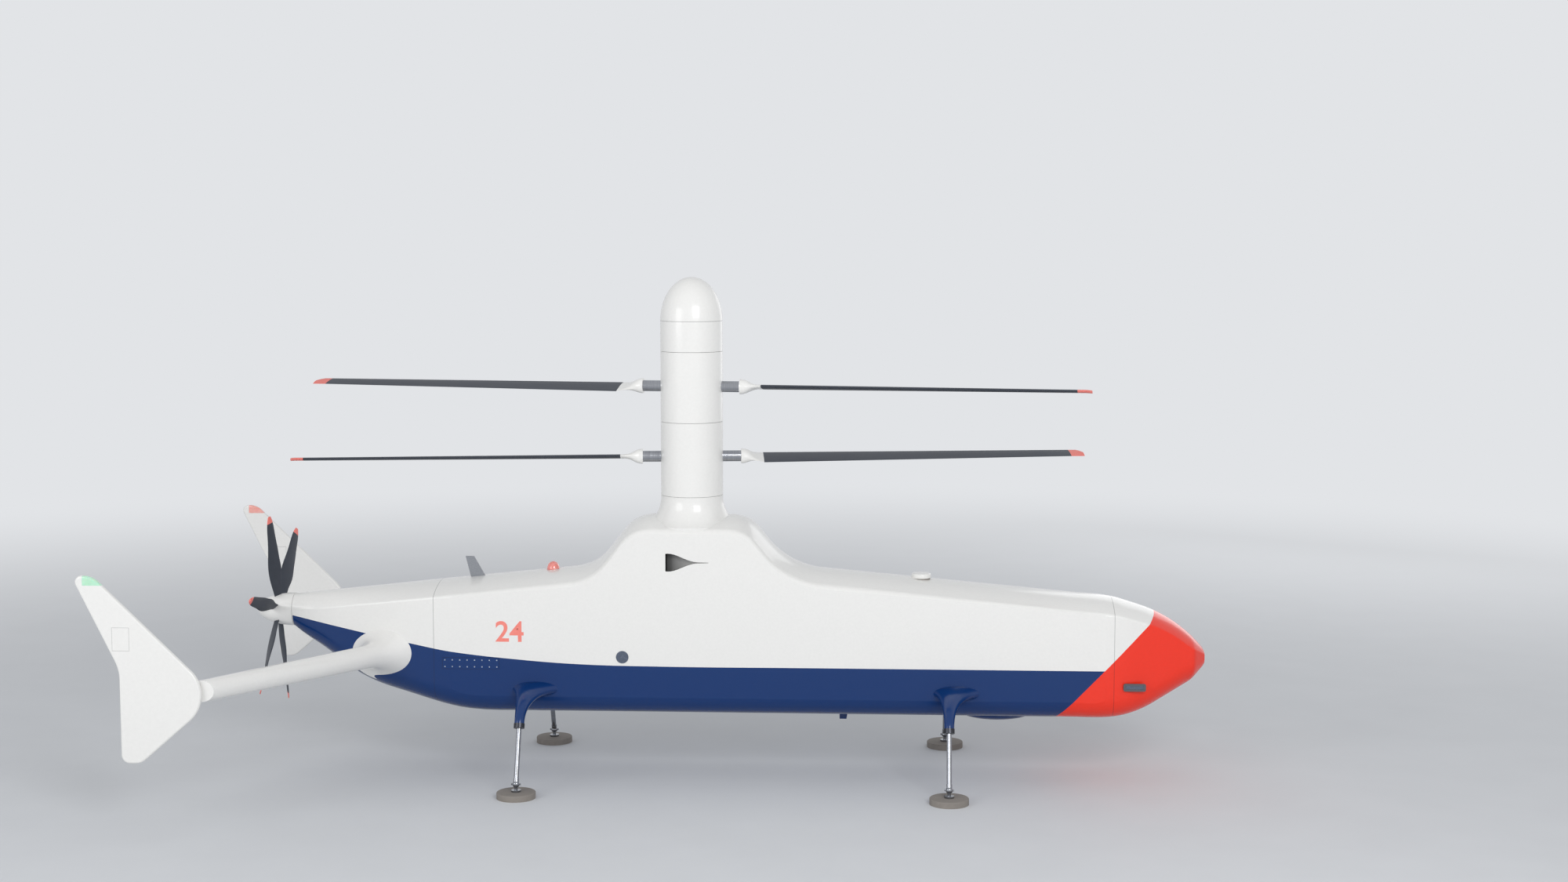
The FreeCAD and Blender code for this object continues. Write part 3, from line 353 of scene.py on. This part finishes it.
for side, word in ((-1, "right"), (1, "left")):
    letters = bpy.data.curves.new(f"number_{word}", "FONT")
    letters.body = "24"
    letters.offset = 0.014
    letters.extrude = FILM / 2
    holder = bpy.data.objects.new(f"number_{word}_curve", letters)
    bpy.context.collection.objects.link(holder)
    bpy.context.view_layer.update()
    flat = bpy.data.meshes.new_from_object(holder.evaluated_get(bpy.context.evaluated_depsgraph_get()))
    bpy.data.objects.remove(holder)
    figures = bmesh.new()
    figures.from_mesh(flat)
    bpy.data.meshes.remove(flat)
    xs = [vert.co.x for vert in figures.verts]
    ys = [vert.co.y for vert in figures.verts]
    stretch = (NUMBER_SIZE[0] / (max(xs) - min(xs)), NUMBER_SIZE[1] / (max(ys) - min(ys)))
    bmesh.ops.translate(figures, verts=figures.verts[:], vec=(-(min(xs) + max(xs)) / 2, -min(ys), 0))
    bmesh.ops.scale(figures, verts=figures.verts[:], vec=(stretch[0], stretch[1], 1))
    turn = Matrix.Rotation(math.pi / 2, 4, "X")
    if side > 0:
        turn = Matrix.Rotation(math.pi, 4, "Z") @ turn
    middle_x = NUMBER_LOW[0] + NUMBER_SIZE[0] / 2
    spot = Matrix.Translation((middle_x, side * (SIDE + FILM / 2), NUMBER_LOW[1]))
    bmesh.ops.transform(figures, matrix=spot @ turn, verts=figures.verts[:])
    new_piece(f"side_number_{word}", figures, "airframe", vinyl)

# ---------------------------------------------------------------- nose lamps
# Slim lamp let into either side of the nose: a moulded frame of grey nylon screwed over the recess,
# and a smoked lens behind it.

# Glass-filled nylon: matt dark grey, with the fine mottle of its fibres.
nylon, tree, shader, place = new_material("nylon_moulded_grey", Specular_IOR_Level=0.4)
fibres = add_node(tree, "ShaderNodeTexNoise", {"Vector": place, "Scale": 260.0, "Detail": 4.0})
tone = add_node(tree, "ShaderNodeMix", {
    "Factor": fibres.outputs["Fac"], 6: linear("#4B4A4E"), 7: linear("#66646A"),
}, data_type="RGBA")
bump = add_node(tree, "ShaderNodeBump", {
    "Height": fibres.outputs["Fac"], "Strength": 0.15, "Distance": 0.0005,
})
blur = add_node(tree, "ShaderNodeMapRange", {
    "Value": fibres.outputs["Fac"], "To Min": 0.5, "To Max": 0.7,
})
tree.links.new(tone.outputs[2], shader.inputs["Base Color"])
tree.links.new(bump.outputs["Normal"], shader.inputs["Normal"])
tree.links.new(blur.outputs["Result"], shader.inputs["Roughness"])
finish(smoked, "nose_lamps")

FRAME_MARGIN = 0.0025   # frame beyond the recess
FRAME_BAR = 0.0085      # width of the frame's bars
FRAME_CORNER = 0.008
FRAME_BACK = 0.1955     # centre plane to the back of a frame
FRAME_FACE = 0.2008     # centre plane to its face
low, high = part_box("nose_lamps")
for side, word in ((-1, "right"), (1, "left")):
    bezel = bmesh.new()
    middle = ((low[0] + high[0]) / 2, side * (FRAME_BACK + FRAME_FACE) / 2, (low[2] + high[2]) / 2)
    extent = (
        high[0] - low[0] + 2 * FRAME_MARGIN, FRAME_FACE - FRAME_BACK,
        high[2] - low[2] + 2 * FRAME_MARGIN, 1,
    )
    block = Matrix.Translation(middle) @ Matrix.Diagonal(extent)
    bmesh.ops.create_cube(bezel, size=1, matrix=block)
    corners = [
        edge for edge in bezel.edges
        if abs((edge.verts[0].co - edge.verts[1].co).normalized().y) > 0.9
    ]
    bmesh.ops.bevel(
        bezel, geom=corners, offset=FRAME_CORNER, offset_type="OFFSET", affect="EDGES", segments=6,
        profile=0.5, material=-1, clamp_overlap=True,
    )
    ends = [face for face in bezel.faces if abs(face.normal.y) > 0.9]
    bmesh.ops.inset_individual(bezel, faces=ends, thickness=FRAME_BAR)
    openings = [
        face for face in bezel.faces
        if abs(face.normal.y) > 0.9 and len(face.verts) > 4
    ]
    rim_edges = [edge for face in openings for edge in face.edges]
    bmesh.ops.delete(bezel, geom=openings, context="FACES_ONLY")
    bmesh.ops.bridge_loops(bezel, edges=[edge for edge in rim_edges if edge.is_valid])
    new_piece(f"nose_lamp_frame_{word}", bezel, "airframe", nylon)

# ---------------------------------------------------------------- spine and belly fittings
# Anti-collision beacon under a pale red moulded lens, a swept blade aerial of glass-fibre, a white
# satellite receiver on a rubber gasket, and under the belly a small navy aerial and a shallow dome.


def lens(name, thin, thick):
    """Moulded polycarbonate lens: coloured through, glossy, with faint moulding streaks."""
    material, tree, shader, place = new_material(
        name, Coat_Weight=0.9, Coat_Roughness=0.04, Subsurface_Weight=0.25, Subsurface_Scale=0.01,
    )
    streaks = add_node(tree, "ShaderNodeTexNoise", {"Vector": place, "Scale": 45.0, "Detail": 3.0})
    tone = add_node(tree, "ShaderNodeMix", {
        "Factor": streaks.outputs["Fac"], 6: linear(thin), 7: linear(thick),
    }, data_type="RGBA")
    blur = add_node(tree, "ShaderNodeMapRange", {
        "Value": streaks.outputs["Fac"], "To Min": 0.12, "To Max": 0.3,
    })
    tree.links.new(tone.outputs[2], shader.inputs["Base Color"])
    tree.links.new(blur.outputs["Result"], shader.inputs["Roughness"])
    return material


finish(lens("polycarbonate_beacon_red", "#F2A49C", "#E4736A"), "beacon_light")

# Painted glass-fibre: satin mid grey, slightly mottled by the weave under the paint.
glass_fibre, tree, shader, place = new_material("glass_fibre_painted_grey")
weave = add_node(tree, "ShaderNodeTexNoise", {"Vector": place, "Scale": 180.0, "Detail": 4.0})
tone = add_node(tree, "ShaderNodeMix", {
    "Factor": weave.outputs["Fac"], 6: linear("#7A7D83"), 7: linear("#94979D"),
}, data_type="RGBA")
blur = add_node(tree, "ShaderNodeMapRange", {
    "Value": weave.outputs["Fac"], "To Min": 0.35, "To Max": 0.55,
})
tree.links.new(tone.outputs[2], shader.inputs["Base Color"])
tree.links.new(blur.outputs["Result"], shader.inputs["Roughness"])
finish(glass_fibre, "blade_antenna")
finish(navy_paint, "belly_antenna", "belly_dome")

white_paint, tree, shader, place = new_material("polyurethane_white")
split = add_node(tree, "ShaderNodeSeparateXYZ", {0: place})
x, z = split.outputs["X"], split.outputs["Z"]
DOME_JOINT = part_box("mast_dome")[0][2]
dome_joint = add_node(tree, "ShaderNodeMath", {0: z, 1: DOME_JOINT, 2: SEAM_HALF}, operation="COMPARE")
# Outline of the flush access hatch in the rear half of each fin.
HATCH_MIDDLE = (-2.087, 0.772)
HATCH_HALF = (0.034, 0.046)
HATCH_LINE = 0.0018
hatch = outline(tree, x, z, HATCH_MIDDLE, HATCH_HALF, HATCH_LINE)
grooves = add_node(tree, "ShaderNodeMath", {
    0: dome_joint.outputs[0], 1: hatch.outputs[0],
}, operation="MAXIMUM")
sprayed(tree, shader, place, linear(WHITE), groove=grooves.outputs[0])


def rounded_disc(radius, low_z, high_z, rounding, middle=(0, 0), segments=72):
    """An upright turned disc with a rounded upper rim."""
    disc = bmesh.new()
    spot = Matrix.Translation((middle[0], middle[1], (low_z + high_z) / 2))
    bmesh.ops.create_cone(
        disc, cap_ends=True, segments=segments, radius1=radius, radius2=radius, depth=high_z - low_z,
        matrix=spot,
    )
    rim = [edge for edge in disc.edges if all(abs(vert.co.z - high_z) < 1e-6 for vert in edge.verts)]
    bmesh.ops.bevel(
        disc, geom=rim, offset=rounding, offset_type="OFFSET", affect="EDGES", segments=5, profile=0.5,
        material=-1, clamp_overlap=True,
    )
    return disc


# Moulded rubber: matt, warm dark grey, scuffed paler in patches.
rubber, tree, shader, place = new_material("rubber_moulded", Specular_IOR_Level=0.3)
scuffs = add_node(tree, "ShaderNodeTexNoise", {
    "Vector": place, "Scale": 22.0, "Detail": 8.0, "Roughness": 0.7,
})
tone = add_node(tree, "ShaderNodeMix", {
    "Factor": scuffs.outputs["Fac"], 6: linear("#7A7571"), 7: linear("#989189"),
}, data_type="RGBA")
grain = add_node(tree, "ShaderNodeTexNoise", {"Vector": place, "Scale": 420.0, "Detail": 2.0})
bump = add_node(tree, "ShaderNodeBump", {
    "Height": grain.outputs["Fac"], "Strength": 0.25, "Distance": 0.0006,
})
blur = add_node(tree, "ShaderNodeMapRange", {
    "Value": scuffs.outputs["Fac"], "To Min": 0.6, "To Max": 0.85,
})
tree.links.new(tone.outputs[2], shader.inputs["Base Color"])
tree.links.new(bump.outputs["Normal"], shader.inputs["Normal"])
tree.links.new(blur.outputs["Result"], shader.inputs["Roughness"])

low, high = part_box("gps_antenna")
receiver_spot = ((low[0] + high[0]) / 2, 0)
receiver_radius = (high[0] - low[0]) / 2
RECEIVER_ROUND = 0.009
GASKET = 0.0065         # height of the gasket
GASKET_INSET = 0.003
GASKET_ROUND = 0.001
receiver = rounded_disc(receiver_radius, low[2] + GASKET, high[2], RECEIVER_ROUND, receiver_spot)
receiver = new_piece("gps_receiver", receiver, "airframe", white_paint)
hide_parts("gps_antenna")
gasket = rounded_disc(
    receiver_radius - GASKET_INSET, low[2], low[2] + GASKET, GASKET_ROUND, receiver_spot,
)
new_piece("gps_gasket", gasket, "airframe", rubber)

# ---------------------------------------------------------------- mast and rotor drums
# White fairings around the fixed tube: a flared collar, the two turning drums, a fixed ring and the
# dome. A thin seal ring on the lower part of each running joint nearly closes its gap.

finish(white_paint, "mast_collar", "lower_hub", "upper_hub", "mast_ring", "mast_dome")


def turned_ring(outer, wall, low_z, high_z, spot):
    """A ring of rectangular section about an upright axis, then moved into place."""
    ring = bmesh.new()
    inner = outer - wall
    profile = [
        ring.verts.new((radius, 0, z))
        for radius, z in ((outer, low_z), (outer, high_z), (inner, high_z), (inner, low_z))
    ]
    for index in range(4):
        ring.edges.new((profile[index], profile[(index + 1) % 4]))
    bmesh.ops.spin(
        ring, geom=ring.verts[:] + ring.edges[:], cent=(0, 0, 0), axis=(0, 0, 1), angle=2 * math.pi,
        steps=96, use_merge=True,
    )
    bmesh.ops.transform(ring, matrix=spot, verts=ring.verts[:])
    return ring


MAST_X = sum(corner[0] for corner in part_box("mast_tube")) / 2
SEAL_WALL = 0.02
SEAL_INSET = 0.0006     # seal inside the drum's skin
SEAL_SLIT = 0.0014      # what is left open above a seal
drum_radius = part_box("lower_hub")[1][1]
mast_axis = Matrix.Translation((MAST_X, 0, 0))
for lower_node, upper_node, body in (
    ("mast_collar", "lower_hub", "airframe"), ("lower_hub", "upper_hub", "lower_rotor"),
    ("upper_hub", "mast_ring", "upper_rotor"),
):
    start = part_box(lower_node)[1][2]
    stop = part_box(upper_node)[0][2] - SEAL_SLIT
    seal = turned_ring(drum_radius - SEAL_INSET, SEAL_WALL, start, stop, mast_axis)
    new_piece(f"seal_on_{lower_node}", seal, body, white_paint)

# Ground and polished steel tube: bright, with faint rings left by the grinding wheel.
chrome, tree, shader, place = new_material("steel_hard_chromed", Metallic=1.0)
lines = add_node(tree, "ShaderNodeMapping", {"Vector": place, "Scale": (260.0, 9.0, 9.0)})
grinding = add_node(tree, "ShaderNodeTexNoise", {
    "Vector": lines.outputs[0], "Scale": 1.0, "Detail": 3.0,
})
tone = add_node(tree, "ShaderNodeMix", {
    "Factor": grinding.outputs["Fac"], 6: linear("#8A8C92"), 7: linear("#B6B8BC"),
}, data_type="RGBA")
blur = add_node(tree, "ShaderNodeMapRange", {
    "Value": grinding.outputs["Fac"], "To Min": 0.08, "To Max": 0.26,
})
tree.links.new(tone.outputs[2], shader.inputs["Base Color"])
tree.links.new(blur.outputs["Result"], shader.inputs["Roughness"])
finish(chrome, "mast_tube", "upper_spindles", "lower_spindles")

# ---------------------------------------------------------------- rotor blades
# Carbon-fibre blades in matt anti-glare grey with faded red tips, bolted into white cuffs that fair
# the round spindle into the blade.

ROTOR_BAND = 0.058
PROPELLER_BAND = 0.03
BLADE_DARK = "#2F333B"
BLADE_WORN = "#40454F"
TIP_RED = "#F08278"


def blade_paint(name, axis, flatten, band_start):
    """Matt paint, rubbed a little paler in long streaks, with a red band at the tips."""
    material, tree, shader, place = new_material(name, Specular_IOR_Level=0.35)
    across = add_node(tree, "ShaderNodeVectorMath", {0: place, 1: flatten}, operation="MULTIPLY")
    reach = add_node(tree, "ShaderNodeVectorMath", {
        0: across.outputs[0], 1: axis,
    }, operation="DISTANCE")
    tip = add_node(tree, "ShaderNodeMath", {
        0: reach.outputs["Value"], 1: band_start,
    }, operation="GREATER_THAN")
    wear = add_node(tree, "ShaderNodeTexNoise", {
        "Vector": place, "Scale": 14.0, "Detail": 8.0, "Roughness": 0.65,
    })
    grey = add_node(tree, "ShaderNodeMix", {
        "Factor": wear.outputs["Fac"], 6: linear(BLADE_DARK), 7: linear(BLADE_WORN),
    }, data_type="RGBA")
    tone = add_node(tree, "ShaderNodeMix", {
        "Factor": tip.outputs[0], 6: grey.outputs[2], 7: linear(TIP_RED),
    }, data_type="RGBA")
    grit = add_node(tree, "ShaderNodeTexNoise", {"Vector": place, "Scale": 500.0, "Detail": 1.0})
    bump = add_node(tree, "ShaderNodeBump", {
        "Height": grit.outputs["Fac"], "Strength": 0.1, "Distance": 0.0004,
    })
    blur = add_node(tree, "ShaderNodeMapRange", {
        "Value": wear.outputs["Fac"], "To Min": 0.42, "To Max": 0.58,
    })
    tree.links.new(tone.outputs[2], shader.inputs["Base Color"])
    tree.links.new(bump.outputs["Normal"], shader.inputs["Normal"])
    tree.links.new(blur.outputs["Result"], shader.inputs["Roughness"])
    return material


ROTOR_RADIUS = 1.719
rotor_paint = blade_paint(
    "polyurethane_matt_rotor", (MAST_X, 0, 0), (1, 1, 0), ROTOR_RADIUS - ROTOR_BAND,
)
for rotor in ("upper", "lower"):
    for end in ("front", "rear"):
        finish(rotor_paint, f"{rotor}_{end}_blade")
        finish(white_paint, f"{rotor}_{end}_cuff")

# ---------------------------------------------------------------- tail propeller
# Six-bladed pusher propeller in the same matt grey, on a steel shaft, with a white spinner that
# runs close behind the round end of the fuselage.

shaft_low, shaft_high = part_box("tail_shaft")
SHAFT_Z = (shaft_low[2] + shaft_high[2]) / 2
PROPELLER_RADIUS = 0.44
propeller_paint = blade_paint(
    "polyurethane_matt_propeller", (0, 0, SHAFT_Z), (0, 1, 1), PROPELLER_RADIUS - PROPELLER_BAND,
)
finish(propeller_paint, "tail_blades")
finish(white_paint, "tail_spinner")
finish(chrome, "tail_shaft")
tail_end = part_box("tail_fuselage")[0][0]
spinner_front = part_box("tail_spinner")[1][0]
spinner_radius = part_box("tail_spinner")[1][1]
tail_axis = Matrix.Translation((0, 0, SHAFT_Z)) @ Matrix.Rotation(math.pi / 2, 4, "Y")
tail_seal = turned_ring(
    spinner_radius - SEAL_INSET, SEAL_WALL, spinner_front + SEAL_SLIT, tail_end, tail_axis,
)
new_piece("seal_on_tail", tail_seal, "airframe", white_paint)

# ---------------------------------------------------------------- tail booms and fins
# Moulded booms with flared roots carry flat fins, all white. The top of each fin is a lamp lens,
# pale green on the right and pale red on the left.

finish(white_paint, "left_tail_boom", "right_tail_boom", "left_fin", "right_fin")
finish(lens("polycarbonate_lamp_green", "#C9EED6", "#A9E2BE"), "right_nav_light")
finish(lens("polycarbonate_lamp_red", "#F6B9B0", "#EF9388"), "left_nav_light")

# ---------------------------------------------------------------- landing gear
# Four legs: navy fairings on the fuselage, a black collar clamped below each, a chromed strut, an
# ankle joint, and a thick rubber pad with a rounded rim.

# Black anodised aluminium: dark satin metal, rubbed bright in places.
anodised, tree, shader, place = new_material("aluminium_anodised_black", Metallic=1.0)
rubbed = add_node(tree, "ShaderNodeTexNoise", {"Vector": place, "Scale": 120.0, "Detail": 5.0})
tone = add_node(tree, "ShaderNodeMix", {
    "Factor": rubbed.outputs["Fac"], 6: linear("#2A2B30"), 7: linear("#55565C"),
}, data_type="RGBA")
blur = add_node(tree, "ShaderNodeMapRange", {
    "Value": rubbed.outputs["Fac"], "To Min": 0.25, "To Max": 0.45,
})
tree.links.new(tone.outputs[2], shader.inputs["Base Color"])
tree.links.new(blur.outputs["Result"], shader.inputs["Roughness"])
finish(anodised, "leg_collars")

# The upright struts show their grinding rings along Z.
strut_chrome, tree, shader, place = new_material("steel_hard_chromed_strut", Metallic=1.0)
lines = add_node(tree, "ShaderNodeMapping", {"Vector": place, "Scale": (9.0, 9.0, 260.0)})
grinding = add_node(tree, "ShaderNodeTexNoise", {
    "Vector": lines.outputs[0], "Scale": 1.0, "Detail": 3.0,
})
tone = add_node(tree, "ShaderNodeMix", {
    "Factor": grinding.outputs["Fac"], 6: linear("#7E8086"), 7: linear("#A6A8AD"),
}, data_type="RGBA")
blur = add_node(tree, "ShaderNodeMapRange", {
    "Value": grinding.outputs["Fac"], "To Min": 0.08, "To Max": 0.24,
})
tree.links.new(tone.outputs[2], shader.inputs["Base Color"])
tree.links.new(blur.outputs["Result"], shader.inputs["Roughness"])

PAD_ROUND = 0.004
for end in ("front", "rear"):
    for word in ("left", "right"):
        leg = f"{end}_{word}"
        finish(navy_paint, f"{leg}_leg_fairing")
        finish(strut_chrome, f"{leg}_leg_strut", f"{leg}_foot_joint")
        low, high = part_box(f"{leg}_foot_pad")
        middle = ((low[0] + high[0]) / 2, (low[1] + high[1]) / 2)
        pad = rounded_disc((high[0] - low[0]) / 2, low[2], high[2], PAD_ROUND, middle)
        pad = new_piece(f"{leg}_pad", pad, "airframe", rubber)
        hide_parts(f"{leg}_foot_pad")

# ---------------------------------------------------------------- studio
# Plain pale floor that fades into a pale surround, three soft area lamps, and the camera.

BACKDROP = "#E2E4E7"
floor = bmesh.new()
bmesh.ops.create_grid(floor, x_segments=1, y_segments=1, size=40)
floor_mesh = bpy.data.meshes.new("studio_floor")
floor.to_mesh(floor_mesh)
floor.free()
floor = bpy.data.objects.new("studio_floor", floor_mesh)
bpy.context.collection.objects.link(floor)
floor_paint, tree, shader, place = new_material("studio_floor", Roughness=0.7, Specular_IOR_Level=0.2)
mottle = add_node(tree, "ShaderNodeTexNoise", {"Vector": place, "Scale": 3.0, "Detail": 4.0})
tone = add_node(tree, "ShaderNodeMix", {
    "Factor": mottle.outputs["Fac"], 6: linear("#D3D5D8"), 7: linear("#D9DBDE"),
}, data_type="RGBA")
tree.links.new(tone.outputs[2], shader.inputs["Base Color"])
distance = add_node(tree, "ShaderNodeVectorMath", {0: place}, operation="LENGTH")
far = add_node(tree, "ShaderNodeMapRange", {
    "Value": distance.outputs["Value"], "From Min": 3.0, "From Max": 11.0,
}, interpolation_type="SMOOTHSTEP")
glow = add_node(tree, "ShaderNodeEmission", {"Color": linear(BACKDROP), "Strength": 1.0})
blend = add_node(tree, "ShaderNodeMixShader", {
    0: far.outputs["Result"], 1: shader.outputs[0], 2: glow.outputs[0],
})
tree.links.new(blend.outputs[0], tree.nodes["Material Output"].inputs["Surface"])
floor_mesh.materials.append(floor_paint)

world = bpy.data.worlds.new("studio")
bpy.context.scene.world = world
world.use_nodes = True
tree = world.node_tree
ambient = tree.nodes["Background"]
ambient.inputs["Color"].default_value = linear("#EDEFF2")
ambient.inputs["Strength"].default_value = 0.62
surround = add_node(tree, "ShaderNodeBackground", {"Color": linear(BACKDROP), "Strength": 1.0})
rays = add_node(tree, "ShaderNodeLightPath")
seen = add_node(tree, "ShaderNodeMath", {
    0: rays.outputs["Is Camera Ray"], 1: rays.outputs["Is Glossy Ray"],
}, operation="MAXIMUM")
seen = add_node(tree, "ShaderNodeMath", {
    0: seen.outputs[0], 1: rays.outputs["Is Transmission Ray"],
}, operation="MAXIMUM")
blend = add_node(tree, "ShaderNodeMixShader", {
    0: seen.outputs[0], 1: ambient.outputs[0], 2: surround.outputs[0],
})
tree.links.new(blend.outputs[0], tree.nodes["World Output"].inputs["Surface"])

for name, spot, width, power in (
    ("key_light", (3.0, -7.0, 4.2), 3.2, 255.0),
    ("fill_light", (-5.5, -6.0, 3.2), 3.6, 140.0),
    ("back_light", (4.0, 6.5, 2.6), 3.6, 36.0),
):
    lamp = bpy.data.lights.new(name, "AREA")
    lamp.size = width
    lamp.energy = power
    holder = bpy.data.objects.new(name, lamp)
    holder.location = spot
    holder.rotation_euler = (Vector((0, 0, 0.8)) - Vector(spot)).to_track_quat("-Z", "Y").to_euler()
    holder.visible_camera = False
    bpy.context.collection.objects.link(holder)

optics = bpy.data.cameras.new("camera")
optics.lens = 50
optics.sensor_width = 36
camera = bpy.data.objects.new("camera", optics)
camera.location = (0.976, -9.371, 2.378)
camera.rotation_euler = (math.radians(84.411), 0, math.radians(3.163))
bpy.context.collection.objects.link(camera)
bpy.context.scene.camera = camera
bpy.context.scene.view_settings.view_transform = "Standard"
